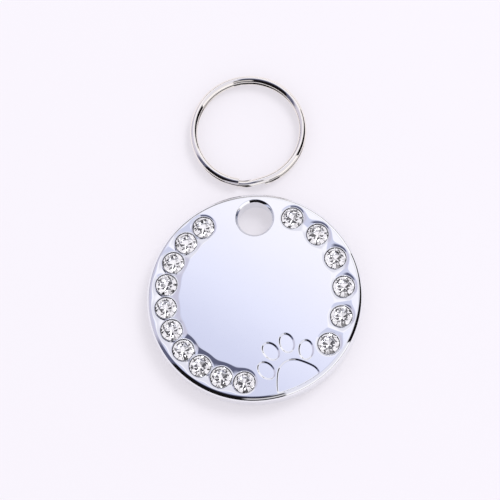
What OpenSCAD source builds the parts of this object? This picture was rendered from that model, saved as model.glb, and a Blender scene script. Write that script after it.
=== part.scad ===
// A round pet tag with rhinestones set along its edge and a split ring beside it.
// The tag lies on its back at z = 0, with its ring hole towards +Y. Millimetres.

/* [Tag] */
// Diameter of the tag
tag_d = 30; // [28:0.5:40]
// Thickness of the tag
tag_t = 3; // [2.7:0.1:4]
// Radius that rounds the rim, front and back
rim_r = 0.7; // [0.4:0.1:1.3]

/* [Ring hole] */
// Diameter of the hole for the split ring
hole_d = 4.8; // [3.5:0.1:5.4]
// Width of the 45 degree chamfer round both mouths of the hole
hole_chamfer = 0.3; // [0.1:0.05:0.5]
// Metal between the wall of the hole and the outside of the tag
hole_land = 1.25; // [1:0.05:2.5]

/* [Rhinestones] */
// Diameter of a stone across its girdle
stone_d = 3.05; // [2.6:0.05:3.3]
// Diameter of a stone's flat table
stone_table_d = 1.6; // [1.2:0.05:2]
// Height of the crown, from the girdle to the table
stone_crown_h = 0.5; // [0.3:0.05:0.8]
// Height of the girdle
stone_girdle_h = 0.1; // [0.05:0.01:0.2]
// Depth of the pointed pavilion under the girdle
stone_pavilion_h = 1.15; // [0.8:0.05:1.25]
// Distance from the outside of the tag to the centre of a stone
stone_inset = 2.6; // [2.5:0.05:3.2]
// Number of stones in the long row on the left
left_stones = 10; // [2:1:11]
// Number of stones in the short row on the right
right_stones = 6; // [2:1:7]
// Gap between neighbouring stones of the long row
left_gap = 0.27; // [0.2:0.01:0.45]
// Gap between neighbouring stones of the short row
right_gap = 1.23; // [0.6:0.01:1.5]
// Direction of the middle of the long row, in degrees from +X
left_middle = 194.5; // [190:0.5:199]
// Direction of the middle of the short row, in degrees from +X
right_middle = 15.3; // [12:0.1:18]

/* [Stone seats] */
// Depth of the sunken dish round a stone
dish_depth = 0.3; // [0.2:0.05:0.6]
// Width of the flat floor of the dish, outside the lip
dish_floor_w = 0.04; // [0.02:0.01:0.15]
// Width of the sloping wall of the dish
dish_wall_w = 0.3; // [0.2:0.02:0.5]
// Width of the raised lip round the seat
lip_w = 0.15; // [0.1:0.01:0.25]
// Height of the lip above the floor of the dish
lip_h = 0.12; // [0.05:0.01:0.18]
// Gap between a stone and the wall of its seat
seat_clearance = 0.03; // [0.02:0.005:0.05]
// Depth of the seat below the tip of the stone
seat_tip_gap = 0.15; // [0.1:0.01:0.2]
// Radius of the flat bottom of the seat
seat_floor_r = 0.45; // [0.3:0.01:0.7]
// Thickness of the glue above the floor of the seat
glue_h = 0.95; // [0.5:0.05:1.2]
// Gap between the glue and what it holds
glue_clearance = 0.02; // [0.01:0.005:0.03]

/* [Paw] */
// Width of the large pad
paw_w = 6; // [5:0.1:7]
// Depth of the paw below the face
paw_depth = 0.15; // [0.1:0.05:0.6]
// Distance from the outside of the tag to the middle of the large pad
paw_inset = 2.4; // [2.2:0.05:3.2]
// Metal between the large pad and the outside of the tag
paw_land = 0.6; // [0.5:0.05:1]
// Direction of the large pad, in degrees from +X
paw_direction = -64.4; // [-68:0.1:-62]
// Length of a toe
toe_l = 2.95; // [2:0.05:3.1]
// Width of a toe
toe_w = 2.15; // [1.6:0.05:2.2]

/* [Split ring] */
// Outer diameter of the split ring
ring_d = 16.5; // [12:0.1:25]
// Width of the flattened wire
wire_w = 1; // [0.7:0.05:1.4]
// Height of the flattened wire
wire_h = 0.7; // [0.5:0.05:1.2]
// Gap between the two turns of the ring
turn_gap = 0.42; // [0.41:0.01:0.6]
// Gap between the tag and the ring that lies beside it
ring_gap = 1.7; // [0.5:0.1:10]
// How far the ring lies to the left of the tag's middle
ring_shift = 1.1; // [0:0.1:5]

/* [Hidden] */
$fn = 72;
overrun = 0.5; // how far every cut runs past the surface that it opens

tag_r = tag_d / 2;
rim_fillet = min(rim_r, tag_t / 2 - overrun / 4);

hole_r = hole_d / 2;
hole_y = tag_r - hole_land - hole_r;

stone_r = stone_d / 2;
stone_facets = 16;
table_facets = stone_facets / 2;
stone_count = left_stones + right_stones;
stone_circle_r = tag_r - stone_inset;

seat_r = stone_r + seat_clearance;
lip_r = seat_r + lip_w;
dish_floor_r = lip_r + dish_floor_w;
dish_z = tag_t - dish_depth;
lip_z = dish_z + lip_h;
// The top of the girdle lies just under the lip.
girdle_z = lip_z - seat_clearance;
pavilion_z = girdle_z - stone_girdle_h;
tip_z = pavilion_z - stone_pavilion_h;
seat_z = tip_z - seat_tip_gap;
glue_top_z = seat_z + glue_h;

pad_r = tag_r - paw_land;
paw_r = tag_r - paw_inset;
toe_points = 36;
hull_facets = 32;
// The large pad is drawn round three circles: place and radius as shares of its width.
pad_circle_shares = [[0, 0, 0.385], [0.29, -0.06, 0.325], [-0.09, -0.31, 0.3]];
// Where the toes fan out from the pad: direction, reach as a share of the pad's width, and lean.
toe_direction_reach_lean_shares = [[170, 0.64, 132], [133, 0.775, 130], [102, 0.775, 108], [64.5, 0.655, 92]];

ring_r = ring_d / 2;
wire_middle_r = ring_r - wire_w / 2;
ring_y = tag_r + ring_gap + ring_r;
lower_turn_z = wire_h / 2;
upper_turn_z = lower_turn_z + wire_h + turn_gap;
// Corners of the wire's section, as shares of its width and height.
wire_section_shares = [[0.5, 0], [0.17, 0.5], [-0.17, 0.5], [-0.5, 0], [-0.17, -0.5], [0.17, -0.5]];
// Directions along the wire, in degrees: where the upper end lies, the climb between the turns,
// and how far the climb stays clear of each end.
upper_end_direction = 261;
climb_angle = 22;
upper_end_clearance = 2;
lower_end_clearance = 5;
full_turn = 360;
climb_from = upper_end_direction + full_turn + upper_end_clearance;
climb_to = climb_from + climb_angle;
wire_from = climb_to - full_turn + lower_end_clearance;
wire_to = upper_end_direction + 2 * full_turn;
turn_steps = 22;
climb_steps = 6;

function two_digits(i) = str(i < 10 ? "0" : "", i);
function stone_name(i) = str("rhinestone_", two_digits(i));
function glue_name(i) = str("stone_glue_", two_digits(i));

// Angle at the tag's centre between two stones whose centres are one pitch apart.
function stone_step(gap) = 2 * asin((stone_d + gap) / (2 * stone_circle_r));

// Stones 1 to left_stones run down the left side, and the others run down the right side.
function stone_direction(i) =
    i <= left_stones
    ? left_middle + (i - (left_stones + 1) / 2) * stone_step(left_gap)
    : right_middle - (i - left_stones - (right_stones + 1) / 2) * stone_step(right_gap);

// Radius of a stone's pavilion, taken as a cone, at height z.
function pavilion_r(z) = stone_r * (z - tip_z) / stone_pavilion_h;

// Radius of the seat's sloping wall at height z.
function seat_wall_r(z) = seat_floor_r + (seat_r - seat_floor_r) * (z - seat_z) / (pavilion_z - seat_z);

// Points of a level ring of n corners.
function level_ring(n, r, z) = [for (k = [0 : n - 1]) [r * cos(360 * k / n), r * sin(360 * k / n), z]];

module at_stone(i) {
    rotate(stone_direction(i))
        translate([stone_circle_r, 0, 0])
            children();
}

// Repeats a shape at the stones from one number on, by a step.
module each_stone(first, step) {
    for (i = [first : step : stone_count])
        at_stone(i)
            children();
}

// A disc with both edges rounded: a thin wide disc, a thick narrow one, and two rolls round the rim.
module rounded_disc(r, t, edge) {
    cylinder(r = r - edge, h = t);
    translate([0, 0, edge])
        cylinder(r = r, h = t - 2 * edge);
    for (z = [edge, t - edge])
        translate([0, 0, z])
            rotate_extrude()
                translate([r - edge, 0])
                    circle(r = edge);
}

// The cone that chamfers one mouth of the hole. It starts inside the hole and ends above the face.
module mouth_cut() {
    translate([0, 0, -hole_chamfer - overrun])
        cylinder(r1 = hole_r - overrun, r2 = hole_r + hole_chamfer + overrun, h = hole_chamfer + 2 * overrun);
}

module ring_hole_cut() {
    translate([0, hole_y, 0]) {
        translate([0, 0, -overrun])
            cylinder(r = hole_r, h = tag_t + 2 * overrun);
        translate([0, 0, tag_t])
            mouth_cut();
        mirror([0, 0, 1])
            mouth_cut();
    }
}

// The sunken dish round one stone. Its slope runs on above the face, as far again as below it.
module dish_cut() {
    rotate_extrude()
        polygon([
            [0, dish_z],
            [dish_floor_r, dish_z],
            [dish_floor_r + 2 * dish_wall_w, dish_z + 2 * dish_depth],
            [0, dish_z + 2 * dish_depth]
        ]);
}

// The round boss that becomes the lip once its seat is cut. It starts inside the metal.
module lip_boss() {
    translate([0, 0, dish_z - dish_depth])
        cylinder(r = lip_r, h = dish_depth + lip_h);
}

module seat_cut() {
    rotate_extrude()
        polygon([
            [0, seat_z],
            [seat_floor_r, seat_z],
            [seat_r, pavilion_z],
            [seat_r, tag_t + overrun],
            [0, tag_t + overrun]
        ]);
}

module toe_outline() {
    polygon([
        for (k = [0 : toe_points - 1])
            [toe_l / 2 * cos(360 * k / toe_points), toe_w / 2 * sin(360 * k / toe_points)]
    ]);
}

// The paw sunk into the face: four toes and a large pad that stops short of the rim.
module paw_cut() {
    pad_x = paw_r * cos(paw_direction);
    pad_y = paw_r * sin(paw_direction);
    translate([0, 0, tag_t - paw_depth]) {
        translate([pad_x, pad_y, 0])
            for (toe = toe_direction_reach_lean_shares)
                rotate(toe[0])
                    translate([toe[1] * paw_w, 0, 0])
                        rotate(toe[2] - toe[0])
                            linear_extrude(paw_depth + overrun)
                                toe_outline();
        intersection() {
            translate([pad_x, pad_y, 0])
                linear_extrude(paw_depth + overrun)
                    hull()
                        for (c = pad_circle_shares)
                            translate([c[0] * paw_w, c[1] * paw_w])
                                circle(r = c[2] * paw_w, $fn = hull_facets);
            cylinder(r = pad_r, h = paw_depth + overrun);
        }
    }
}

// The disc with its dishes. Neighbouring dishes overlap, so every second one is cut first.
module dished_disc() {
    difference() {
        difference() {
            rounded_disc(tag_r, tag_t, rim_fillet);
            each_stone(1, 2)
                dish_cut();
        }
        each_stone(2, 2)
            dish_cut();
    }
}

// The dished disc with a boss for every lip, again in two passes.
module lipped_disc() {
    union() {
        union() {
            dished_disc();
            each_stone(1, 2)
                lip_boss();
        }
        each_stone(2, 2)
            lip_boss();
    }
}

module tag_blank() {
    color([0.86, 0.87, 0.91])
        difference() {
            lipped_disc();
            each_stone(1, 1)
                seat_cut();
            ring_hole_cut();
            paw_cut();
        }
}

// A pointed-back stone: an eight-sided table, a crown, a girdle and a pavilion of sixteen sides.
module rhinestone(i) {
    points = concat(
        level_ring(table_facets, stone_table_d / 2, girdle_z + stone_crown_h),
        level_ring(stone_facets, stone_r, girdle_z),
        level_ring(stone_facets, stone_r, pavilion_z),
        [[0, 0, tip_z]]
    );
    upper = table_facets;
    lower = upper + stone_facets;
    tip = lower + stone_facets;
    table = [for (k = [table_facets - 1 : -1 : 0]) k];
    bezels = [
        for (k = [0 : table_facets - 1])
            [k, (k + 1) % table_facets, upper + 2 * k + 1]
    ];
    crown = [
        for (k = [0 : stone_facets - 1])
            [floor((k + 1) / 2) % table_facets, upper + (k + 1) % stone_facets, upper + k]
    ];
    girdle = [
        for (k = [0 : stone_facets - 1])
            [upper + k, upper + (k + 1) % stone_facets, lower + (k + 1) % stone_facets, lower + k]
    ];
    pavilion = [
        for (k = [0 : stone_facets - 1])
            [lower + k, lower + (k + 1) % stone_facets, tip]
    ];
    color([0.93, 0.96, 1])
        at_stone(i)
            polyhedron(points, concat([table], bezels, crown, girdle, pavilion));
}

// The glue that beds one stone: it fills the seat round the tip of the pavilion.
module stone_glue(i) {
    floor_z = seat_z + glue_clearance;
    color([0.93, 0.91, 0.84])
        at_stone(i)
            rotate_extrude()
                polygon([
                    [0, floor_z],
                    [seat_wall_r(floor_z) - glue_clearance, floor_z],
                    [seat_wall_r(glue_top_z) - glue_clearance, glue_top_z],
                    [pavilion_r(glue_top_z) + glue_clearance, glue_top_z],
                    [0, tip_z - glue_clearance]
                ]);
}

// The wire's height climbs from the lower turn to the upper one in an S curve.
function eased(s) = s <= 0 ? 0 : s >= 1 ? 1 : s * s * (3 - 2 * s);
function wire_z(a) = lower_turn_z + (upper_turn_z - lower_turn_z) * eased((a - climb_from) / climb_angle);

function wire_corners(a) = [
    for (c = wire_section_shares)
        let (r = wire_middle_r + c[0] * wire_w)
            [r * cos(a), r * sin(a), wire_z(a) + c[1] * wire_h]
];

function steps_between(a, b, n) = [for (k = [0 : n - 1]) a + (b - a) * k / n];

wire_angles = concat(
    steps_between(wire_from, climb_from, turn_steps),
    steps_between(climb_from, climb_to, climb_steps),
    steps_between(climb_to, wire_to, turn_steps),
    [wire_to]
);
wire_sides = len(wire_section_shares);
wire_rings = len(wire_angles);
wire_points = [for (a = wire_angles) each wire_corners(a)];

// The least distance between points of the wire that are more than half a turn apart.
least_turn_gap = min([
    for (i = [0 : wire_rings - 1])
        for (j = [i + 1 : 1 : wire_rings - 1])
            if (wire_angles[j] - wire_angles[i] > 180)
                for (p = [0 : wire_sides - 1])
                    for (q = [0 : wire_sides - 1])
                        norm(wire_points[i * wire_sides + p] - wire_points[j * wire_sides + q])
]);
echo(least_turn_gap = least_turn_gap);

// One unbroken flattened wire, wound nearly twice round.
module split_ring() {
    first_cap = [for (k = [0 : wire_sides - 1]) k];
    last_cap = [for (k = [wire_sides - 1 : -1 : 0]) (wire_rings - 1) * wire_sides + k];
    walls = [
        for (i = [0 : wire_rings - 2])
            for (k = [0 : wire_sides - 1])
                let (
                    a = i * wire_sides + k,
                    b = i * wire_sides + (k + 1) % wire_sides,
                    c = b + wire_sides,
                    d = a + wire_sides
                )
                    each [[a, c, b], [a, d, c]]
    ];
    color([0.82, 0.82, 0.83])
        translate([-ring_shift, ring_y, 0])
            polyhedron(wire_points, concat([first_cap], walls, [last_cap]));
}

tag_blank();
for (i = [1 : stone_count]) {
    rhinestone(i);
    stone_glue(i);
}
split_ring();
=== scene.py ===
# %% [markdown]
# # A round pet tag with rhinestones, and its split ring
#
# This lesson dresses a small piece of jewellery for a dog's collar. The construction model gives the
# tag, sixteen stones, their glue and the ring at their real size. What is left to do here is the look:
# a die-cast disc with bright plating, foiled glass stones sunk in dishes, and a ring of flattened wire.
# Bright metal has no colour of its own. It is drawn by its edges and by the room that it reflects, so
# most of the work goes into smooth edges with exact normals, and into a believable small studio.

# %% Load the construction model
import bpy
import numpy as np
from mathutils import Matrix, Vector
from mathutils.geometry import delaunay_2d_cdt


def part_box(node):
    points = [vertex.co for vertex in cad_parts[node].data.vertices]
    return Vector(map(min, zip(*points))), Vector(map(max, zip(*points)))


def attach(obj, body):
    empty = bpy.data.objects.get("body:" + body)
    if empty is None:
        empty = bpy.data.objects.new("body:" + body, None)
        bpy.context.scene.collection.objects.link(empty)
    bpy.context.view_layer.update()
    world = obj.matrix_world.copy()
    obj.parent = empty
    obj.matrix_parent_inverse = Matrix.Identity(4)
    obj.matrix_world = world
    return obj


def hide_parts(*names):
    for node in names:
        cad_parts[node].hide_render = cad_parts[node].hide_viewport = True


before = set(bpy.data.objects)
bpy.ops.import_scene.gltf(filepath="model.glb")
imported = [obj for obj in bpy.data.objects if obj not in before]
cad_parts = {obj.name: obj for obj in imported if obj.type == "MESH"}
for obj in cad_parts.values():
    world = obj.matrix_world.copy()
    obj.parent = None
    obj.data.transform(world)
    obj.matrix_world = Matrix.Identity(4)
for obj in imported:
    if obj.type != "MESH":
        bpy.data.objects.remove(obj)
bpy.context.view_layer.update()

MM = 0.001
MICRON = 1e-6

# %% [markdown]
# ## Sizes
#
# Everything that another piece depends on is read from the construction model: the tag's radius and
# thickness, the middle of each stone, the height of its table, and the place of the ring. The hole's
# and the paw's sizes are repeated from its source, and the small forms that plating rounds off, such as
# the edge of a dish, have sizes of their own.

# %% Sizes that the model gives
def middle_and_size(node):
    """The middle of a node's box and its three sides."""
    low, high = (np.array(corner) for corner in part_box(node))
    return (low + high) / 2, high - low


STONES = sorted(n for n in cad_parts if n.startswith("rhinestone_"))
_, tag_size = middle_and_size("tag_blank")
TAG_R, TAG_T = tag_size[0] / 2, tag_size[2]
stone_boxes = [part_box(n) for n in STONES]
CENTRES = np.array([middle_and_size(n)[0][:2] for n in STONES])
TABLE_Z = max(high.z for low, high in stone_boxes)
TIP_Z = min(low.z for low, high in stone_boxes)
STONE_CIRCLE_R = np.hypot(*CENTRES[0])
print(f"tag {2000 * TAG_R:.1f} mm across, {1000 * TAG_T:.1f} mm thick, {len(STONES)} stones on a circle "
      f"of {1000 * STONE_CIRCLE_R:.2f} mm, tables {1000 * TABLE_Z:.2f} mm up")

# %% Sizes of the small forms on the tag
RIM_W = 0.7 * MM            # width of the worn bevel round the rim
HOLE_R = 2.4 * MM           # wall of the ring hole
HOLE_LAND = 1.25 * MM       # metal between the hole and the outside
HOLE_Y = TAG_R - HOLE_LAND - HOLE_R
CHAMFER, MOUTH_SLOPE = 0.36 * MM, 1.2   # of both mouths of the hole
CROWN_H, GIRDLE_H = 0.5 * MM, 0.1 * MM
GIRDLE_Z = TABLE_Z - CROWN_H
PAVILION_Z = GIRDLE_Z - GIRDLE_H
SEAT_R = 1.555 * MM         # wall of a stone's seat
SEAT_FLOOR_R = 0.45 * MM
TIP_GAP = 0.15 * MM         # room for glue under a stone's tip
SEAT_Z = TIP_Z - TIP_GAP
DISH_R = 1.75 * MM          # about where a single dish meets the face
DISH_DEPTH, DISH_WALL = 0.42 * MM, 1.1 * MM
DISH_IN, DISH_OUT = 0.992, 1.005   # how far out the dishes lie, as shares of their stones' place
LIP_Z = TAG_T - 0.08 * MM   # crest of the lip round a seat
PAW_DEPTH = 0.15 * MM
PAD_W = 6 * MM              # width of the paw's large pad
PAD_DIRECTION = np.radians(-64.4)
PAD_MIDDLE_R = TAG_R - 2.4 * MM
PAD_LIMIT_R = TAG_R - 0.6 * MM
TOE_L, TOE_W = 2.95 * MM, 2.15 * MM

lower_left = (CENTRES[:, 0] < 0) & (CENTRES[:, 1] < -0.4 * STONE_CIRCLE_R)
DISH_CENTRES = CENTRES * np.where(lower_left, DISH_IN, DISH_OUT)[:, None]
print("dishes nearer the middle than their stones:", lower_left.sum(), "of", len(CENTRES))

# %% [markdown]
# ## Surfaces as arrays
#
# Each form is worked out as whole arrays of points: rows of a grid, or loops round an outline. Small
# helpers turn such arrays into one mesh. Points that fall on the same place are made one, so that
# strips close up with their neighbours, and each point can carry the exact normal of its surface.

# %% Helpers for meshes
SAME = 1e-7   # points closer than this, in metres, become one


def strip_faces(rows, columns):
    """Triangles of a grid whose points are numbered row by row, two for each cell, closed round."""
    r = np.arange(rows - 1)[:, None] * columns
    c = np.arange(columns)[None, :]
    d = (c + 1) % columns
    a, b, e, f = r + c, r + d, r + columns + d, r + columns + c
    return np.stack([a, e, b, a, f, e], -1).reshape(-1, 3)


def merged(parts):
    """Joins (points, normals, triangles) parts, makes equal points one and drops triangles that collapse."""
    points = np.concatenate([p for p, n, t in parts])
    normals = np.concatenate([n for p, n, t in parts])
    starts = np.cumsum([0] + [len(p) for p, n, t in parts[:-1]])
    triangles = np.concatenate([t + s for (p, n, t), s in zip(parts, starts)])
    _, kept, place = np.unique(np.round(points / SAME), axis=0, return_index=True, return_inverse=True)
    triangles = place.reshape(-1)[triangles]
    a, b, c = triangles.T
    triangles = triangles[(a != b) & (b != c) & (c != a)]
    return points[kept], triangles, normals[kept]


def mesh_piece(name, points, triangles, normals=None, smooth=True):
    """One object at the origin from arrays of points and triangles, with its own normals if given."""
    mesh = bpy.data.meshes.new(name)
    mesh.vertices.add(len(points))
    mesh.vertices.foreach_set("co", points.astype(np.float32).ravel())
    mesh.loops.add(triangles.size)
    mesh.loops.foreach_set("vertex_index", triangles.astype(np.int32).ravel())
    mesh.polygons.add(len(triangles))
    mesh.polygons.foreach_set("loop_start", np.arange(0, triangles.size, 3, dtype=np.int32))
    mesh.update(calc_edges=True)
    mesh.polygons.foreach_set("use_smooth", np.full(len(triangles), smooth))
    mesh.validate()
    if normals is not None:
        mesh.normals_split_custom_set_from_vertices(normals.tolist())
    piece = bpy.data.objects.new(name, mesh)
    bpy.context.scene.collection.objects.link(piece)
    print(f"{name}: {len(points)} points, {len(triangles)} triangles")
    return piece


# %% A profile turned round an axis
def rounded_profile(corners, radii, steps=5):
    """Points and outward normals of a polyline whose inner corners become arcs, outside on the left."""
    corners = np.array(corners, float)
    points, normals = [], []

    def side(a, b):
        along = (b - a) / np.linalg.norm(b - a)
        return along, np.array([-along[1], along[0]])

    points.append(corners[0])
    normals.append(side(corners[0], corners[1])[1])
    for before, corner, beyond, radius in zip(corners, corners[1:], corners[2:], radii):
        (u, nu), (v, _) = side(before, corner), side(corner, beyond)
        turn = np.arctan2(u[0] * v[1] - u[1] * v[0], u @ v)
        start = corner - u * radius * np.tan(abs(turn) / 2)
        centre = start + nu * radius * np.sign(turn)
        a = turn * np.linspace(0, 1, steps)
        n = np.stack([nu[0] * np.cos(a) - nu[1] * np.sin(a), nu[0] * np.sin(a) + nu[1] * np.cos(a)], -1)
        points.extend(centre - n * radius * np.sign(turn))
        normals.extend(n)
    points.append(corners[-1])
    normals.append(side(corners[-2], corners[-1])[1])
    return np.array(points), np.array(normals)


def turned(profile, profile_normals, segments, centre=(0, 0)):
    """A profile of (radius, height) carried round an upright axis: each point goes round a circle."""
    a = np.arange(segments) * 2 * np.pi / segments
    ring = np.stack([np.cos(a), np.sin(a)], -1)

    def carry(pairs):
        flat = pairs[:, None, :1] * ring[None]
        up = np.broadcast_to(pairs[:, None, 1:], flat.shape[:2] + (1,))
        return np.concatenate([flat, up], -1).reshape(-1, 3)

    points = carry(profile) + np.array([centre[0], centre[1], 0])
    return points, carry(profile_normals), strip_faces(len(profile), segments)

# %% [markdown]
# ## The tag's upper face
#
# The disc was cast in one piece, so its face is one surface here as well: a height over the plane. It
# could be cut from a solid with Booleans, but they leave hard edges and normals that bright metal shows.
# The flat disc falls off at the rim in a worn bevel. Each row of stones lies in a dish whose outline is the
# rounded union of circles, a small lip stands round each seat, and the paw is sunk in with sloping
# walls. Where two of these forms meet, a soft minimum or maximum rounds the edge, as plating does.

# %% Soft minimum, maximum and union
def soft_min(a, b, k):
    """The smaller of a and b, less k / 4 times the square of how close they are, 1 where they meet."""
    near = np.maximum(k - np.abs(a - b), 0) / k
    return np.minimum(a, b) - near * near * k / 4


def soft_max(a, b, k):
    """The larger of a and b, rounded in the same way."""
    return -soft_min(-a, -b, k)


def union_distance(each, k):
    """One distance for many circles: minus k times the logarithm of the sum of exp(-distance / k)."""
    least = each.min(0)
    return least - k * np.log(np.exp((least - each) / k).sum(0))


# %% The paw's outlines
BEARINGS = 720   # directions in which an outline's reach is kept
bearing = np.arange(BEARINGS) * 2 * np.pi / BEARINGS
OUTWARD = np.stack([np.cos(bearing), np.sin(bearing)])

PAD_CIRCLES = np.array([[0, 0, 0.385], [0.29, -0.06, 0.325], [-0.09, -0.31, 0.3]]) * PAD_W   # x, y, radius
PAD_BLEND = 0.08 * MM
# Each toe's direction from the pad and its lean, in degrees, and its distance in widths of the pad
TOES = [(170, 132, 0.64), (133, 130, 0.775), (102, 108, 0.775), (64.5, 92, 0.655)]


def unit(angle):
    """The direction at an angle from +X, in radians."""
    return np.array([np.cos(angle), np.sin(angle)])


def toe_reach(middle, angle):
    """Reach of an ellipse in every direction n: middle . n plus the root of (a n1)^2 + (b n2)^2."""
    along = unit(angle)
    across = np.array([-along[1], along[0]])
    return middle @ OUTWARD + np.hypot(TOE_L / 2 * (along @ OUTWARD), TOE_W / 2 * (across @ OUTWARD))


def pad_reach(middle):
    """Reach of a band drawn round three circles: the soft maximum of each circle's own reach."""
    reach = (PAD_CIRCLES[:, :2] + middle) @ OUTWARD + PAD_CIRCLES[:, 2:]
    return -union_distance(-reach, PAD_BLEND)


pad_middle = PAD_MIDDLE_R * unit(PAD_DIRECTION)
PAW = [pad_reach(pad_middle)]
for direction, angle, far in TOES:
    PAW.append(toe_reach(pad_middle + far * PAD_W * unit(np.radians(direction)), np.radians(angle)))
print("paw: one pad and", len(PAW) - 1, "toes")

# %% Heights of the upper surface
LIP_SLOPE, PAW_SLOPE = 1.4, 0.8
LIP_TOP_R = SEAT_R + 0.045 * MM
EDGE = 0.06 * MM            # how far apart in height two forms start to blend
PAW_EDGE = 0.04 * MM        # the same for the paw
LIP_CREST, LIP_FOOT = 0.03 * MM, 0.04 * MM   # the same for a lip's crest and its foot
LIP_JOIN = 0.02 * MM        # and where two lips meet
PAD_CORNER = 0.2 * MM       # rounding of the pad's corners at the rim
PAW_NEAR = 0.8 * PAD_W      # past this distance from its middle an outline no longer counts
PAW_LEAN = 0.004            # slope of the paw's floor, which the die left a little out of true
STONE_BLEND = 0.9 * MM      # how softly neighbouring dishes join


def outline_from_slope(length, slope, steps):
    """Across and down along an outline whose slope is given along its length: the running sums of the
    slope's cosine and sine. Also the slope itself, in radians."""
    s = np.unique(np.concatenate([np.linspace(a, b, steps) for a, b in zip(length, length[1:])]))
    psi = np.radians(np.interp(s, length, slope))
    half = (psi[1:] + psi[:-1]) / 2
    across = np.concatenate([[0], np.cumsum(np.cos(half) * np.diff(s))])
    down = np.concatenate([[0], np.cumsum(np.sin(half) * np.diff(s))])
    return across, down, psi


RIM_LENGTHS = [0, 0.05, 0.1, 0.4, 0.62, 0.8, 0.95]   # from the face round to the wall
RIM_DEGREES = [0, 14, 31, 41, 53, 72, 90]            # the slope at each
rim_across, rim_down, rim_slope = outline_from_slope(RIM_LENGTHS, RIM_DEGREES, steps=400)
rim_down *= RIM_W / rim_across[-1]
rim_across *= RIM_W / rim_across[-1]


def base_height(x, y):
    """The disc: flat, then the rim's bevel, which falls slowly at first and then ever more steeply."""
    past = np.clip(np.hypot(x, y) - (TAG_R - RIM_W), 0, RIM_W)
    return TAG_T - np.interp(past, rim_across, rim_down)


def distances(middles, x, y):
    """How far each point is from each middle, one row a middle."""
    return np.hypot(x[None] - middles[:, :1], y[None] - middles[:, 1:])


def dish_wall(x, y):
    """A hollow wall: with t the way in from the dish's outline, it is sunk by (3 t - t t) / 2 depths."""
    away = union_distance(distances(DISH_CENTRES, x, y), STONE_BLEND)
    t = np.minimum((DISH_R - away) / DISH_WALL, 1)
    return TAG_T - DISH_DEPTH * (1.5 * t - 0.5 * np.maximum(t, 0) ** 2)


def paw_distance(x, y):
    """How far outside the paw's outlines a point is, negative inside: the least over the five outlines of
    the largest step past a straight edge that touches the outline. The pad ends short of the rim."""
    best = np.full(x.shape, TAG_R)
    for i, reach in enumerate(PAW):
        middle = (reach[0] - reach[BEARINGS // 2]) / 2, (reach[BEARINGS // 4] - reach[3 * BEARINGS // 4]) / 2
        near = np.hypot(x - middle[0], y - middle[1]) < PAW_NEAR
        p = np.stack([x[near], y[near]], -1)
        d = (p @ OUTWARD - reach).max(1)
        if i == 0:
            d = soft_max(d, np.hypot(x[near], y[near]) - PAD_LIMIT_R, PAD_CORNER)
        best[near] = np.minimum(best[near], d)
    return best


def mouth_wall(x, y):
    """The ring hole's chamfer: a cone that rises from the hole's wall."""
    return TAG_T - CHAMFER + MOUTH_SLOPE * (np.hypot(x, y - HOLE_Y) - HOLE_R)


def back_depth(x, y):
    """The back, seen from behind: the disc and the chamfer of the hole."""
    return soft_min(base_height(x, y), mouth_wall(x, y), EDGE)


def face_height(x, y):
    """The disc lowered to the dishes and the paw where they are lower, and raised to the seats' lips."""
    height = back_depth(x, y)
    height = soft_min(height, dish_wall(x, y), EDGE)
    floor = TAG_T - PAW_DEPTH - PAW_LEAN * (y - pad_middle[1])
    paw = soft_max(floor, TAG_T + PAW_SLOPE * paw_distance(x, y), PAW_EDGE)
    height = soft_min(height, paw, PAW_EDGE)
    nearest = union_distance(distances(CENTRES, x, y), LIP_JOIN)
    lip = soft_min(np.full(x.shape, LIP_Z), LIP_Z - LIP_SLOPE * (nearest - LIP_TOP_R), LIP_CREST)
    return soft_max(height, lip, LIP_FOOT)


def upward_normals(height, x, y):
    """Minus the height's slope in x and in y, and one upwards, made one long."""
    sx = (height(x + MICRON, y) - height(x - MICRON, y)) / (2 * MICRON)
    sy = (height(x, y + MICRON) - height(x, y - MICRON)) / (2 * MICRON)
    n = np.stack([-sx, -sy, np.ones(x.shape)], -1)
    return n / np.linalg.norm(n, axis=1, keepdims=True)


# %% [markdown]
# ## Where the surface needs points
#
# A grid would step across the small edges, and bright metal would show every step. So the points lie
# on loops that follow each form: rings round the seats, lines on both sides of each dish's edge found
# by halving along rays, and parallel curves of the paw's outlines. A Delaunay triangulation joins them.

# %% Loops of points
RIM_STEPS, HOLE_STEPS, SEAT_STEPS = 640, 160, 96
FACE_EDGE_R = TAG_R - 0.3 * MM     # where the turned rim takes over
HOLE_EDGE_R = HOLE_R + 0.06 * MM   # on the chamfer, where the turned wall takes over
SEAT_EDGE_R = SEAT_R + 0.025 * MM
HOLE = np.array([0, HOLE_Y])
EDGE_LEVELS = np.array([-61, -40, -20, 0, 20, 40, 61]) * MICRON
EDGE_REACH = 2.1 * MM              # how far past its start a ray is searched
HALVINGS = 32


def circle(centre, radius, count):
    """Points spaced evenly round a circle."""
    a = np.arange(count) * 2 * np.pi / count
    return centre + radius * np.stack([np.cos(a), np.sin(a)], -1)


def row_rays(row, step):
    """Starts and directions of rays that leave a row's middle line on both sides and fan out at its ends."""
    angle = np.unwrap(np.arctan2(row[:, 1], row[:, 0]))
    turn = np.sign(angle[-1] - angle[0])
    a = np.linspace(angle[0], angle[-1], int(abs(angle[-1] - angle[0]) * STONE_CIRCLE_R / step))
    radial = np.stack([np.cos(a), np.sin(a)], -1)
    starts, directions = [radial * STONE_CIRCLE_R] * 2, [radial, -radial]
    fan = np.linspace(0, np.pi, int(np.pi * DISH_R / step))[:, None]
    for end, away in ((radial[0], -turn), (radial[-1], turn)):
        tangent = away * np.array([-end[1], end[0]])
        starts.append(np.repeat(end[None] * STONE_CIRCLE_R, len(fan), 0))
        directions.append(np.cos(fan) * end + np.sin(fan) * tangent)
    return np.concatenate(starts), np.concatenate(directions)


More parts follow.
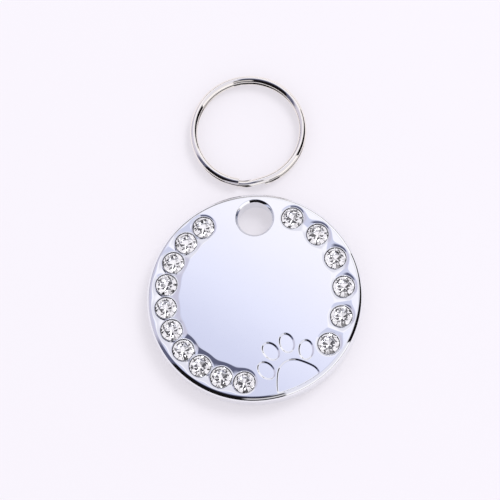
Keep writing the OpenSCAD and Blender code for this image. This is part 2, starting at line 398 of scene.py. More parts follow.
def edge_points(wall, starts, directions, nearest):
    """Points where a wall stands each level above the disc, found along rays by halving."""
    loops = []
    for level in EDGE_LEVELS:
        low, high = np.full(len(starts), nearest), np.full(len(starts), nearest + EDGE_REACH)
        for _ in range(HALVINGS):
            middle = (low + high) / 2
            p = starts + middle[:, None] * directions
            above = wall(*p.T) - base_height(*p.T) > level
            low, high = np.where(above, low, middle), np.where(above, middle, high)
        loops.append(starts + low[:, None] * directions)
    return np.concatenate(loops)


def parallel(reach, offset, count):
    """Points of an outline moved outwards by offset: its reach times n, plus the reach's slope times n
    turned by a right angle."""
    slope = (np.roll(reach, -1) - np.roll(reach, 1)) * BEARINGS / (4 * np.pi)
    p = ((reach + offset) * OUTWARD + slope * np.stack([-OUTWARD[1], OUTWARD[0]])).T
    length = np.concatenate([[0], np.cumsum(np.linalg.norm(np.roll(p, -1, 0) - p, axis=1))])
    even = np.linspace(0, length[-1], count, endpoint=False)
    return np.stack([np.interp(even, length, np.append(p[:, i], p[0, i])) for i in (0, 1)], -1)


# %% Where the loops lie
RIM_LOOPS = np.array([14.2, 14.3, 14.315, 14.33, 14.345, 14.36, 14.375, 14.39, 14.42, 14.46, 14.5, 14.54,
                      14.58, 14.62, 14.66]) * MM   # radii, closest where the bevel begins
SEAT_LOOPS = np.array([1.588, 1.598, 1.61, 1.63, 1.66, 1.69, 1.72, 1.75, 1.78, 1.81, 1.84, 1.88, 1.96]) * MM
MOUTH_RING = 0.08 * MM               # out from the border of the hole
RAY_STEP, RAY_START = 0.08 * MM, 0.9 * MM
BETWEEN = np.linspace(-0.6, 0.6, 25)[:, None] * MM   # across the bridge between two stones
PAW_LEVELS = np.concatenate([np.arange(54, -55, -13.5), [-80, -110], np.arange(-136, -282, -13.5)]) * MICRON
PAD_POINTS, TOE_POINTS, LIMIT_POINTS = 400, 180, 1440
RIM_CLEAR, HOLE_CLEAR, SEAT_CLEAR = 0.03 * MM, 0.02 * MM, 0.008 * MM   # kept free beside each border
CLOSEST = 0.012 * MM

# %% All the points
row_break = int(np.argmax(np.linalg.norm(np.diff(CENTRES, axis=0), axis=1))) + 1
rows = CENTRES[:row_break], CENTRES[row_break:]
edges = [(np.zeros(2), FACE_EDGE_R, RIM_STEPS), (HOLE, HOLE_EDGE_R, HOLE_STEPS)]
edges += [(c, SEAT_EDGE_R, SEAT_STEPS) for c in CENTRES]
border = [circle(*edge) for edge in edges]

rim_loops = [circle(0, r, RIM_STEPS) for r in RIM_LOOPS]
hole_rays = circle(0, 1, HOLE_STEPS)
hole_starts = np.repeat(HOLE[None], HOLE_STEPS, 0)
mouth_loops = [edge_points(mouth_wall, hole_starts, hole_rays, HOLE_R),
               circle(HOLE, HOLE_EDGE_R + MOUTH_RING, HOLE_STEPS)]
free, back_free = rim_loops + mouth_loops, rim_loops[::2] + mouth_loops
for row in rows:
    free.append(edge_points(dish_wall, *row_rays(row, RAY_STEP), RAY_START))
for c in CENTRES:
    for r in SEAT_LOOPS:
        ring = circle(c, r, SEAT_STEPS)
        own = np.linalg.norm(ring - c, axis=1) < distances(CENTRES, *ring.T).min(0) + SAME
        free.append(ring[own & (dish_wall(*ring.T) < base_height(*ring.T) - EDGE)])
for row in rows:
    for a, b in zip(row[:-1], row[1:]):
        across = np.array([a[1] - b[1], b[0] - a[0]]) / np.linalg.norm(b - a)
        free.append((a + b) / 2 + BETWEEN * across)
for offset in PAW_LEVELS:
    loop = parallel(PAW[0], offset, PAD_POINTS)
    arc = circle(0, PAD_LIMIT_R + offset, LIMIT_POINTS)
    free.append(loop[np.hypot(*loop.T) < PAD_LIMIT_R + offset])
    free.append(arc[(arc @ OUTWARD - PAW[0]).max(1) < offset])
for reach in PAW[1:]:
    free.extend(parallel(reach, offset, TOE_POINTS) for offset in PAW_LEVELS)


def tidy_points(loops, seats):
    """The points of all loops that lie inside the borders, one in each small square of the plane."""
    p = np.concatenate(loops)
    inside = np.hypot(*p.T) < FACE_EDGE_R - RIM_CLEAR
    inside &= np.hypot(*(p - HOLE).T) > HOLE_EDGE_R + HOLE_CLEAR
    if seats:
        inside &= distances(CENTRES, *p.T).min(0) > SEAT_EDGE_R + SEAT_CLEAR
    p = p[inside]
    _, kept = np.unique(np.round(p / CLOSEST), axis=0, return_index=True)
    return p[np.sort(kept)]


free, back_free = tidy_points(free, True), tidy_points(back_free, False)
print("points of the face:", len(free), "and of the back:", len(back_free))


# %% The face and the back, triangulated
ALL_TRIANGLES = 0      # the kind of result that Blender's triangulation is asked for
ONE_POINT = 1e-6       # how near, in mm, it takes two points as one


def filled(border, holes, points):
    """A Delaunay triangulation of all points that keeps the border loops, without what lies in the holes."""
    starts = np.cumsum([0] + [len(b) for b in border])
    kept_edges = np.concatenate([np.stack([np.arange(len(b)), (np.arange(len(b)) + 1) % len(b)], -1) + s
                                 for b, s in zip(border, starts)])
    plane = np.concatenate(border + [points])
    made = delaunay_2d_cdt([Vector(p) for p in (plane / MM).tolist()], kept_edges.tolist(), [],
                           ALL_TRIANGLES, ONE_POINT)
    plane = plane[[ids[0] for ids in made[3]]]
    triangles = np.array(made[2])
    middle = plane[triangles].mean(1)
    solid = np.hypot(*middle.T) < FACE_EDGE_R
    for centre, radius, count in holes:
        solid &= np.hypot(*(middle - centre).T) > radius * np.cos(np.pi / count)
    triangles = triangles[solid]
    u, v = (plane[triangles[:, i]] - plane[triangles[:, 0]] for i in (1, 2))
    clockwise = u[:, 0] * v[:, 1] < u[:, 1] * v[:, 0]
    triangles[clockwise] = triangles[clockwise][:, ::-1]
    return plane[:, 0], plane[:, 1], triangles


x, y, triangles = filled(border, edges[1:], free)
face = np.stack([x, y, face_height(x, y)], -1), upward_normals(face_height, x, y), triangles
x, y, triangles = filled(border[:2], edges[1:2], back_free)
back = np.stack([x, y, TAG_T - back_depth(x, y)], -1), upward_normals(back_depth, x, y), triangles[:, ::-1]
back[1][:, 2] *= -1
print("triangles of the face:", len(face[2]), "and of the back:", len(back[2]))

# %% [markdown]
# ## The rim, the hole and the seats
#
# Everything that is round about an upright axis is a profile turned round it, like work on a lathe. Each
# profile starts and ends on a border of the face or the back, with the same points and the same normals,
# so the plating runs on without a seam.

# %% Profiles of the rim, the hole and the seats
RIM_ROWS = 11
HOLE_ROUNDING = [0.08 * MM] * 2                   # radii that plating gives the inner corners
SEAT_ROUNDING = [0.06 * MM, 0.03 * MM, 0.02 * MM]


def rim_profile(steps):
    """The bevel from the face's border to the wall, a straight wall, and the same below it."""
    slope = np.linspace(np.interp(FACE_EDGE_R - TAG_R + RIM_W, rim_across, rim_slope), np.pi / 2, steps)
    r = TAG_R - RIM_W + np.interp(slope, rim_slope, rim_across)
    down = np.interp(slope, rim_slope, rim_down)
    upper, upper_n = np.stack([r, TAG_T - down], -1), np.stack([np.sin(slope), np.cos(slope)], -1)
    lower, lower_n = np.stack([r, down], -1)[::-1], upper_n[::-1] * (1, -1)
    return np.concatenate([upper, lower]), np.concatenate([upper_n, lower_n])


mouth_rise = MOUTH_SLOPE * (HOLE_EDGE_R - HOLE_R)
hole_corners = [(HOLE_EDGE_R, CHAMFER - mouth_rise), (HOLE_R, CHAMFER),
                (HOLE_R, TAG_T - CHAMFER), (HOLE_EDGE_R, TAG_T - CHAMFER + mouth_rise)]
seat_corners = [(0, SEAT_Z), (SEAT_FLOOR_R, SEAT_Z), (SEAT_R, PAVILION_Z), (SEAT_R, LIP_Z),
                (SEAT_EDGE_R, LIP_Z)]
seat_profile = rounded_profile(seat_corners, SEAT_ROUNDING, steps=3)
print(f"a seat is {1000 * (LIP_Z - SEAT_Z):.2f} mm deep, from its lip to its floor")

# %% The tag in one piece
rim = turned(*rim_profile(RIM_ROWS), RIM_STEPS)
hole_wall = turned(*rounded_profile(hole_corners, HOLE_ROUNDING), HOLE_STEPS, HOLE)
seats = [turned(*seat_profile, SEAT_STEPS, c) for c in CENTRES]

tag = mesh_piece("tag_disc", *merged([face, back, rim, hole_wall] + seats))
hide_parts("tag_blank")
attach(tag, "tag")

# %% [markdown]
# ## The stones
#
# Each rhinestone is a machine-cut glass point: an eight-sided table, a crown of eight facets with
# sixteen smaller ones between them, and a pavilion of eight flat kites. The pavilion is silvered. A flat
# black ring round the girdle is painted shade: it fills the gap to the seat, where a thin dark shadow
# falls. The light goes in at the crown, is thrown back by the silver and comes out somewhere else, and
# that is the sparkle. The stones are set by hand, so each is turned and leans a little differently.

# %% The facets of one stone
STONE_R, TABLE_R = 1.46 * MM, 0.96 * MM
# a flat black ring of painted shade fills the gap between a stone's girdle and its seat
GIRDLE_SHADE_R, GIRDLE_SHADE_Z, GIRDLE_SHADE_SIDES = SEAT_R - 0.007 * MM, GIRDLE_Z - 0.03 * MM, 48
CUTS = 8   # every ring of facets has this many, turned by whole or half steps


def polar(radius, degrees, z):
    """Points at one height, at these angles round the stone's axis."""
    a = np.radians(degrees)
    return np.stack([radius * np.cos(a), radius * np.sin(a), np.full(a.shape, z)], -1)


def after(points):
    """The same points, each one moved to the place of the one before."""
    return np.roll(points, -1, 0)


even = np.arange(CUTS) * 360 / CUTS
odd = even + 180 / CUTS
top = polar(TABLE_R, odd, TABLE_Z)
upper_even, upper_odd = polar(STONE_R, even, GIRDLE_Z), polar(STONE_R, odd, GIRDLE_Z)
lower_even = polar(STONE_R, even, PAVILION_Z)
scallop_z = TIP_Z + (PAVILION_Z - TIP_Z) / np.cos(np.pi / CUTS)   # where a flat kite meets the girdle
lower_odd = polar(STONE_R, odd, scallop_z)
tip, table_middle = (np.broadcast_to([0, 0, z], (CUTS, 3)) for z in (TIP_Z, TABLE_Z))
crown = [(table_middle, top, after(top)), (top, upper_even, upper_odd),
         (top, upper_odd, after(upper_even)), (top, after(upper_even), after(top)),
         (upper_even, lower_even, lower_odd), (upper_even, lower_odd, upper_odd),
         (upper_odd, lower_odd, after(lower_even)), (upper_odd, after(lower_even), after(upper_even))]
pavilion = [(tip, lower_odd, lower_even), (tip, after(lower_even), lower_odd)]
# the ring of painted shade round the girdle
girdle_shade_angles = np.arange(GIRDLE_SHADE_SIDES) * 360 / GIRDLE_SHADE_SIDES
inner, outer = (polar(r, girdle_shade_angles, GIRDLE_SHADE_Z) for r in (STONE_R, GIRDLE_SHADE_R))
girdle_shade = [(inner, outer, after(outer)), (inner, after(outer), after(inner))]
# finish 2 is the painted shade round the girdle
facets = np.concatenate([np.stack(f, 1) for f in crown + pavilion + girdle_shade])
finish = np.repeat([0, 1, 2], [CUTS * len(crown), CUTS * len(pavilion), GIRDLE_SHADE_SIDES * len(girdle_shade)])
print(len(facets), "triangles in a stone:", (finish == 1).sum(), "silvered,", (finish == 2).sum(), "girdle_shade")

# %% All the stones
MOST_LEAN = 1.2   # degrees
rng = np.random.default_rng(16)
pivot = np.array([0, 0, GIRDLE_Z])
triangles = np.arange(3 * len(facets)).reshape(-1, 3)
stones = []
for name, (cx, cy) in zip(STONES, CENTRES):
    lean = Matrix.Rotation(np.radians(rng.uniform(0, MOST_LEAN)), 3, Vector(rng.normal(size=3) * (1, 1, 0)))
    turn = Matrix.Rotation(rng.uniform(0, 2 * np.pi / CUTS), 3, "Z")
    placed = (facets.reshape(-1, 3) - pivot) @ np.array(lean @ turn).T + pivot + np.array([cx, cy, 0])
    placed[:, 2] = np.minimum(placed[:, 2], TABLE_Z)
    stone = mesh_piece(name.replace("rhinestone", "cut_stone"), placed, triangles, smooth=False)
    stone.data.polygons.foreach_set("material_index", finish.astype(np.int32))
    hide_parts(name)
    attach(stone, "tag")
    stones.append(stone)

# %% [markdown]
# ## The split ring
#
# A split ring is one hard wire, rolled to a flattened shape with four broad bevels and wound almost twice
# round. A curve with a bevel object could draw it too. Here the section is carried along the winding as
# one array, because its flat sides must stay upright and its normals exact. Over a short stretch the
# wire climbs from the lower turn to the upper one, and both ends are cut off with a small bevel.

# %% The wire's path and section
ring_low, ring_high = (np.array(c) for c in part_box("split_ring"))
WIRE_W, WIRE_H = 1.0 * MM, 0.88 * MM
WIRE_FROM, CLIMB_FROM, CLIMB_TO, WIRE_TO = 287, 622, 645, 981   # degrees along the winding
WIRE_STEP = 1.5   # degrees
SECTION_LENGTHS = [0, 0.04, 0.1, 0.22, 0.42, 0.58, 0.64, 0.68]   # from the top round to the side
SECTION_DEGREES = [0, 8, 29, 38, 46, 54, 72, 90]                 # the slope at each
END_BEVEL, END_SIZE = 0.08 * MM, 0.8   # length of the bevel at both ends, and the section's share there
RING_R = (ring_high[0] - ring_low[0]) / 2
RING = np.array([(ring_low[0] + ring_high[0]) / 2, (ring_low[1] + ring_high[1]) / 2])


def wire_height(degrees):
    """The lower turn's height, and a smooth climb of 3 s s - 2 s s s to the upper one."""
    s = np.clip((degrees - CLIMB_FROM) / (CLIMB_TO - CLIMB_FROM), 0, 1)
    low, high = ring_low[2] + WIRE_H / 2, ring_high[2] - WIRE_H / 2
    return low + (high - low) * s * s * (3 - 2 * s)


def section():
    """A quarter of the outline from its slopes, fitted to the wire's width and height, and its mirror
    images in the other three quarters. Points and outward normals."""
    run, fall, psi = outline_from_slope(SECTION_LENGTHS, SECTION_DEGREES, steps=4)
    print(f"section before fitting: {run[-1]:.3f} by {fall[-1]:.3f} mm")
    across, up = run * WIRE_W / 2 / run[-1], WIRE_H / 2 * (1 - fall / fall[-1])
    quarter = np.stack([across, up, np.sin(psi), np.cos(psi)], -1)
    side_down = quarter[::-1] * (1, -1, 1, -1)
    right = np.concatenate([quarter[:-1], side_down[:-1]])
    loop = np.concatenate([right, right * -1])
    return loop[:, :2], loop[:, 2:]


def wound_wire():
    """The section carried along the winding: its first place is added to the radius of the wire's middle,
    its second to the height. The ends close with a small bevel and a flat cap that faces along the wire."""
    bevel = np.degrees(END_BEVEL / RING_R)
    along = np.concatenate([[WIRE_FROM, WIRE_FROM], np.arange(WIRE_FROM + bevel, WIRE_TO - bevel, WIRE_STEP),
                            [WIRE_TO - bevel, WIRE_TO, WIRE_TO]])
    size = np.ones((len(along), 1))
    size[[0, -1]] = 0
    size[[1, -2]] = END_SIZE
    shape, shape_normals = section()
    a = np.radians(along)[:, None]
    r = RING_R - WIRE_W / 2 + size * shape[:, 0]
    z = wire_height(along)[:, None] + size * shape[:, 1]
    points = np.stack([RING[0] + r * np.cos(a), RING[1] + r * np.sin(a), z], -1)
    outwards, upwards = shape_normals.T
    normals = np.stack([outwards * np.cos(a), outwards * np.sin(a), upwards + 0 * a], -1)
    forward = np.stack([-np.sin(a), np.cos(a), 0 * a], -1)
    normals[[0, 1]] = -forward[[0, 1]]
    normals[[-2, -1]] = forward[[-2, -1]]
    return points.reshape(-1, 3), normals.reshape(-1, 3), strip_faces(len(along), len(shape))[:, ::-1]


# %% The ring in one piece
ring = mesh_piece("split_ring_wire", *merged([wound_wire()]))
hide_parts("split_ring")
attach(ring, "ring")

# %% [markdown]
# ## A small language for shader maths
#
# A material's maths is easier to read as a formula than as boxes. So a wire between two nodes is wrapped
# in a class that knows plus, minus, times and divided by, and one method makes any other node.

# %% Wires and nodes
class Wire:
    """An output socket. Arithmetic on it adds a Math node."""

    def __init__(self, net, socket):
        self.net, self.socket = net, socket

    def math(self, operation, first, second):
        return self.net.node("ShaderNodeMath", {0: first, 1: second}, operation=operation)

    def __add__(self, other):
        return self.math("ADD", self, other)

    def __sub__(self, other):
        return self.math("SUBTRACT", self, other)

    def __mul__(self, other):
        return self.math("MULTIPLY", self, other)

    def __rsub__(self, other):
        return self.math("SUBTRACT", other, self)

    def __truediv__(self, other):
        return self.math("DIVIDE", self, other)

    __radd__ = __add__
    __rmul__ = __mul__


class Net:
    """The node tree of a material or the world, emptied."""

    def __init__(self, owner):
        owner.use_nodes = True
        self.tree = owner.node_tree
        self.tree.nodes.clear()

    def node(self, kind, sockets, output=0, stops=(), **settings):
        """Adds a node, sets its settings, then gives each socket a value or a wire. Returns one output."""
        made = self.tree.nodes.new(kind)
        for key, value in settings.items():
            setattr(made, key, value)
        for i, (place, colour) in enumerate(stops):
            stop = made.color_ramp.elements[i] if i < 2 else made.color_ramp.elements.new(place)
            stop.position, stop.color = place, (*colour, 1)
        for key, value in sockets.items():
            if isinstance(value, Wire):
                self.tree.links.new(value.socket, made.inputs[key])
            else:
                made.inputs[key].default_value = value
        return Wire(self, made.outputs[output]) if len(made.outputs) else made

    def rise(self, value, low, high):
        """0 below low, 1 above high, and smooth between them."""
        return self.node("ShaderNodeMapRange", {"Value": value, "From Min": low, "From Max": high},
                         interpolation_type="SMOOTHSTEP")

    def between(self, value, low, high, soft):
        """1 between low and high and 0 outside, over edges that are 2 soft wide."""
        return self.rise(value, low - soft, low + soft) * (1 - self.rise(value, high - soft, high + soft))

    def mix(self, factor, first, second):
        """A colour between two colours."""
        return self.node("ShaderNodeMix", {0: factor, 6: first, 7: second}, output=2, data_type="RGBA")

    def noise(self, vector, scale, detail=2.0):
        """Smooth noise from 0 to 1, with this many lumps to the metre."""
        return self.node("ShaderNodeTexNoise", {"Vector": vector, "Scale": scale, "Detail": detail})


def rgb(r, g, b):
    """A colour with its alpha, as sockets want it."""
    return r, g, b, 1.0


# %% [markdown]
# ## Finishes
#
# The tag is cast in zinc, polished and plated with bright chrome: nearly a mirror, very slightly wavy
# from the polishing, with faint hairlines. The ring is drawn and nickel plated, warmer and with lines
# along the wire, and its seam is darkened with painted shade. The glass is clear and its back is
# silvered; the black ring round each girdle is painted shade. The glue is a clear resin that has yellowed a
# little.

# %% Materials
def surface(name, colour, roughness, height=None, depth=0.0, **constants):
    """A Principled material. Colour and roughness may be wires, and height makes a bump of that depth."""
    material = bpy.data.materials.new(name)
    net = Net(material)
    sockets = {"Base Color": colour(net), "Roughness": roughness(net)}
    if height:
        bump = {"Height": height(net), "Distance": depth, "Strength": 1.0}
        sockets["Normal"] = net.node("ShaderNodeBump", bump)
    sockets.update({key.replace("_", " "): value for key, value in constants.items()})
    shader = net.node("ShaderNodeBsdfPrincipled", sockets)
    net.node("ShaderNodeOutputMaterial", {"Surface": shader})
    return material


SCRATCHES_A, SCRATCHES_B = (9000, 700, 900), (500, 12000, 900)   # to the metre, along each axis
LINES = 9000                            # the same for the lines along the ring
SEAM_SHADE = 0.62 * MM, 1.0 * MM, 0.04 * MM   # painted shade in the seam: its lower and upper height, and its soft edge
STEEP = 0.70, 0.80                      # how far up a side of the wire may face and still be steep, and so take the painted seam shade


def place(net):
    """Where a point of the piece is, in its own space."""
    return net.node("ShaderNodeTexCoord", {}, output="Object")


def stretched(net, scale):
    """The same place, scaled along each axis."""
    return net.node("ShaderNodeMapping", {"Vector": place(net), "Scale": scale})


def hairlines(net):
    """Short fine scratches: noise stretched in two directions, kept where it is highest."""
    one = net.noise(stretched(net, SCRATCHES_A), 1.0)
    two = net.noise(stretched(net, SCRATCHES_B), 1.0)
    return net.rise(one, 0.66, 0.74) + net.rise(two, 0.67, 0.75)


def round_lines(net):
    """Lines along the ring: noise on the distance from the ring's middle and on the height."""
    away = net.node("ShaderNodeVectorMath", {0: place(net), 1: (*RING, 0)}, operation="SUBTRACT")
    flat = net.node("ShaderNodeVectorMath", {0: away, 1: (1, 1, 0)}, operation="MULTIPLY")
    distance = net.node("ShaderNodeVectorMath", {0: flat}, output="Value", operation="LENGTH")
    height = net.node("ShaderNodeSeparateXYZ", {0: away}, output="Z")
    parts = {"X": distance * LINES, "Z": height * LINES}
    return net.noise(net.node("ShaderNodeCombineXYZ", parts), 1.0)


def ring_colour(net):
    """Nickel, with painted shade in the seam: darker on the steep sides, at the height where one turn lies
    on the other.
    """
    height = net.node("ShaderNodeSeparateXYZ", {0: place(net)}, output="Z")
    facing = net.node("ShaderNodeNewGeometry", {}, output="Normal")
    steep = 1 - net.rise(net.node("ShaderNodeSeparateXYZ", {0: facing}, output="Z"), *STEEP)
    seam_shade = net.between(height, *SEAM_SHADE) * steep
    nickel_tone = net.mix(net.noise(place(net), 150), rgb(0.94, 0.905, 0.85), rgb(0.97, 0.935, 0.88))
    # painted shade: where one turn lies on the other, the colour itself is darkened
    return net.mix(seam_shade, nickel_tone, rgb(0.07, 0.065, 0.06))


chrome = surface(
    "bright_chrome",
    lambda net: net.mix(net.noise(place(net), 90), rgb(0.89, 0.90, 0.925), rgb(0.91, 0.92, 0.935)),
    lambda net: 0.025 + 0.02 * net.noise(place(net), 400) + 0.05 * hairlines(net),
    height=lambda net: net.noise(place(net), 260, 1.0), depth=1.5 * MICRON, Metallic=1.0)
nickel = surface(
    "bright_nickel",
    ring_colour,
    lambda net: 0.03 + 0.06 * round_lines(net),
    height=round_lines, depth=0.8 * MICRON, Metallic=1.0)
glass = surface(
    "stone_glass",
    lambda net: net.mix(net.noise(place(net), 500), rgb(0.98, 0.985, 1.0), rgb(1.0, 0.995, 0.99)),
    lambda net: 0.004 * net.noise(place(net), 900), Transmission_Weight=1.0, IOR=1.54)
silver = surface(
    "stone_silvering",
    lambda net: net.mix(net.noise(place(net), 700), rgb(0.88, 0.88, 0.90), rgb(0.95, 0.95, 0.96)),
    lambda net: 0.01 + 0.03 * net.noise(place(net), 1500), Metallic=1.0)
# painted shade: a rough black for the ring in the gap between each stone and its seat, where shadow falls
painted_girdle_shade = surface(
    "stone_girdle_shade",
    lambda net: net.mix(net.noise(place(net), 800), rgb(0.03, 0.028, 0.03), rgb(0.06, 0.055, 0.055)),
    lambda net: 0.35 + 0.2 * net.noise(place(net), 900))
glue = surface(
    "stone_glue",
    lambda net: net.mix(net.noise(place(net), 600), rgb(0.80, 0.77, 0.68), rgb(0.88, 0.86, 0.80)),
    lambda net: 0.25 + 0.2 * net.noise(place(net), 900))

tag.data.materials.append(chrome)
ring.data.materials.append(nickel)
for stone in stones:
    for coat in (glass, silver, painted_girdle_shade):
        stone.data.materials.append(coat)
for name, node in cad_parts.items():
    if name.startswith("stone_glue_"):
        for slot in node.material_slots:
            slot.material = glue
print("finishes:", [m.name for m in (chrome, nickel, glass, silver, painted_girdle_shade, glue)])

# %% [markdown]
# ## Camera
#
# The photograph looks down from the paw's side, about 18 degrees off the upright, from far away. A camera
# could be placed by eye. This one was fitted to the stones, the outline and the ring, so its place and
# its axes are written out, and its lens is worked out from the focal length in pixels.

# %% The camera
SENSOR, FOCAL_PIXELS, PICTURE_PIXELS = 36, 2872.6, 500
EYE = Vector((27.3228, -113.8480, 382.4815)) * MM
FORWARD = Vector((-0.07003, 0.30193, -0.95075)).normalized()
RIGHT = Vector((0.99751, 0.00266, -0.07047))
RIGHT = (RIGHT - FORWARD * RIGHT.dot(FORWARD)).normalized()
UP = RIGHT.cross(FORWARD)
lens = bpy.data.cameras.new("camera")
lens.sensor_width = SENSOR
lens.lens = SENSOR * FOCAL_PIXELS / PICTURE_PIXELS
lens.clip_start = 0.01
camera = bpy.data.objects.new("camera", lens)
camera.matrix_world = Matrix((RIGHT, UP, -FORWARD)).transposed().to_4x4()
camera.location = EYE
bpy.context.scene.collection.objects.link(camera)
bpy.context.scene.camera = camera
print("camera", [round(c / MM, 1) for c in EYE], "mm, lens", round(lens.lens, 1), "mm")

# %% [markdown]
# ## Floor, light and room
#
# The floor is pale paper that also gives off a little light of its own, so that shadows on it stay as
# soft and light as in the photograph. One large lamp high on the upper right casts them to the lower
# left. The room could be modelled from walls and cards. A function of direction is lighter and needs no
# space: it is written with the compass azimuth and the elevation in degrees. Bright metal sees it as a
# picture: a ceiling whose edge gives the face its soft change of tone, white walls, a shaded side
# towards the south, and two black screens low down, which draw the edges. Rays that leave a stone
# through its crown see dark bars in a white room, which give the facets their contrast. The camera and
# all matt surfaces see plain near-white.

# %% Floor and lamp
FLOOR_HALF = 0.6
floor_mesh = bpy.data.meshes.new("floor")
floor_corners = [(-FLOOR_HALF, -FLOOR_HALF, 0), (FLOOR_HALF, -FLOOR_HALF, 0),
                 (FLOOR_HALF, FLOOR_HALF, 0), (-FLOOR_HALF, FLOOR_HALF, 0)]
floor_mesh.from_pydata(floor_corners, [], [(0, 1, 2, 3)])
floor = bpy.data.objects.new("floor", floor_mesh)
bpy.context.scene.collection.objects.link(floor)
paper = surface("floor_paper",
                lambda net: net.mix(net.noise(place(net), 3), rgb(0.41, 0.40, 0.425),
                                    rgb(0.42, 0.41, 0.435)),
                lambda net: 0.8 + 0.1 * net.noise(place(net), 40),
                Emission_Color=rgb(0.98, 0.94, 1.0), Emission_Strength=0.45)
floor.data.materials.append(paper)

lamp_data = bpy.data.lights.new("upper_right_lamp", "AREA")
lamp_data.shape = "DISK"
lamp_data.size = 0.5
lamp_data.energy = 3.5
lamp = bpy.data.objects.new("upper_right_lamp", lamp_data)
lamp_azimuth, lamp_elevation = np.radians(45), np.radians(50)
lamp.location = Vector((np.sin(lamp_azimuth) * np.cos(lamp_elevation),
                        np.cos(lamp_azimuth) * np.cos(lamp_elevation), np.sin(lamp_elevation)))
lamp.rotation_euler = lamp.location.to_track_quat("Z", "Y").to_euler()
lamp.visible_glossy = False   # the metal shows the room below, and not the lamp's round disc
bpy.context.scene.collection.objects.link(lamp)
print("floor", 2 * FLOOR_HALF, "m wide, lamp", round(lamp.location.length, 2), "m away")

# %% Directions in the room
world = bpy.data.worlds.new("studio")
bpy.context.scene.world = world
net = Net(world)
way = net.node("ShaderNodeTexCoord", {}, output="Generated")
dx, dy, dz = (net.node("ShaderNodeSeparateXYZ", {0: way}, output=axis) for axis in "XYZ")
turn = net.node("ShaderNodeMath", {0: dx, 1: dy}, operation="ARCTAN2") * np.degrees(1)
azimuth = net.node("ShaderNodeMath", {0: turn + 360, 1: 360.0}, operation="MODULO")
elevation = net.node("ShaderNodeMath", {0: dz}, operation="ARCSINE") * np.degrees(1)

# %% The walls, the horizon and the shaded side, as the metal sees them
CEILING = [(0.0, (0.68, 0.70, 0.88)), (0.22, (0.725, 0.745, 0.945)), (0.43, (0.885, 0.895, 1.075)),
           (0.62, (0.98, 0.967, 1.08)), (0.8, (1.05, 1.03, 1.09))]
CEILING_SKEW, CEILING_FROM, CEILING_WIDTH = 0.6, 0.2, 0.1   # how askew its edge runs, and where it lies
BLACK, GREY, WHITE = rgb(0.008, 0.007, 0.008), rgb(0.7, 0.68, 0.71), rgb(0.85, 0.84, 0.93)
SHADE, WEST_SHADE = rgb(0.12, 0.125, 0.20), rgb(0.64, 0.62, 0.76)
BRIGHT, HORIZON = rgb(1.12, 1.10, 1.12), rgb(0.16, 0.15, 0.16)

# In degrees: a pair is where something fades in or out. A triple is where it starts and ends, and how
# soft its edges are.
WALL_TOP, BRIGHT_TOP, HORIZON_TOP = (48, 64), (14, 24), (2.5, 4.5)
RAISED, RAISED_BY = (290, 352, 8), 5           # azimuths where the horizon is higher
SKY_BACK, SKY_BACK_TOP = (172, 246, 6), (50, 56)
WEST, WEST_BAND = (246, 318, 8), (2, 60, 8)
SHADED, SHADED_TOP = (172, 263, 5), (66, 88)

sky = net.node("ShaderNodeValToRGB", {0: (dy + CEILING_SKEW * dx - CEILING_FROM) / CEILING_WIDTH},
               stops=CEILING)
room = net.mix(1 - net.rise(elevation, *WALL_TOP), sky, WHITE)
room = net.mix(1 - net.rise(elevation, *BRIGHT_TOP), room, BRIGHT)
low = elevation - RAISED_BY * net.between(azimuth, *RAISED)
room = net.mix(1 - net.rise(low, *HORIZON_TOP), room, HORIZON)
room = net.mix(net.between(azimuth, *SKY_BACK) * (1 - net.rise(elevation, *SKY_BACK_TOP)), room, sky)
room = net.mix(net.between(azimuth, *WEST) * net.between(elevation, *WEST_BAND), room, WEST_SHADE)
room = net.mix(net.between(azimuth, *SHADED) * (1 - net.rise(elevation, *SHADED_TOP)), room, SHADE)
print("walls and ceiling made of", len(world.node_tree.nodes), "nodes")

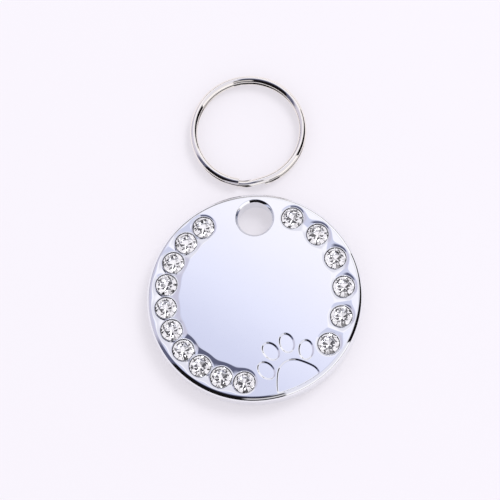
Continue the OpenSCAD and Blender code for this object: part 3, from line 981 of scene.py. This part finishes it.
# %% Two black screens, the southern one with a pale gap in it
SOUTH_SCREEN, SOUTH_FOOT, SOUTH_TOP = (162, 246, 1.5), (-4, -2), (34, 44)
GAP_END, GAP_BAND = (188, 194), (17, 29, 2)
EAST_SCREEN, EAST_FOOT, EAST_SOFT = (49, 104, 0.5), (-3, -1), (-1.5, 1.5)
EAST_LOW, EAST_RISE, EAST_SLOPE = 10, 20, (50, 96)   # its top slopes up over these azimuths

south = net.between(azimuth, *SOUTH_SCREEN) * net.rise(elevation, *SOUTH_FOOT)
south = south * (1 - net.rise(elevation, *SOUTH_TOP))
gap = (1 - net.rise(azimuth, *GAP_END)) * net.between(elevation, *GAP_BAND)
east_top = EAST_LOW + EAST_RISE * net.rise(azimuth, *EAST_SLOPE)
east = net.between(azimuth, *EAST_SCREEN) * net.rise(elevation, *EAST_FOOT)
east = east * net.rise(east_top - elevation, *EAST_SOFT)
room = net.mix(south, room, BLACK)
room = net.mix(south * gap, room, GREY)
room = net.mix(east, room, BLACK)
print("with the screens", len(world.node_tree.nodes), "nodes")

# %% What the stones and the camera see
GLARE, PATCH, PLAIN = rgb(1.16, 1.13, 1.15), rgb(0.08, 0.075, 0.08), rgb(0.99, 0.97, 1.0)
BARS, BARS_TURN, BAR, BARS_TOP = 9, 12, (13, 26, 1), (55, 63)
PATCH_FOOT = (71, 76)                                # a dark patch where the camera stands overhead

bar = net.node("ShaderNodeMath", {0: azimuth + BARS_TURN, 1: 360 / BARS}, operation="MODULO")
bars = net.between(bar, *BAR) * (1 - net.rise(elevation, *BARS_TOP))
inside = net.mix(bars, GLARE, BLACK)
inside = net.mix(net.rise(elevation, *PATCH_FOOT), inside, PATCH)
room = net.mix(net.node("ShaderNodeLightPath", {}, output="Is Transmission Ray"), room, inside)
for kind in ("Is Camera Ray", "Is Diffuse Ray"):
    room = net.mix(net.node("ShaderNodeLightPath", {}, output=kind), room, PLAIN)
background = net.node("ShaderNodeBackground", {"Color": room, "Strength": 1.0})
net.node("ShaderNodeOutputWorld", {"Surface": background})
print("with the stones' bars", len(world.node_tree.nodes), "nodes")

bpy.context.scene.view_settings.view_transform = "Standard"
bpy.context.scene.cycles.glossy_bounces = 12   # light crosses a silvered stone several times
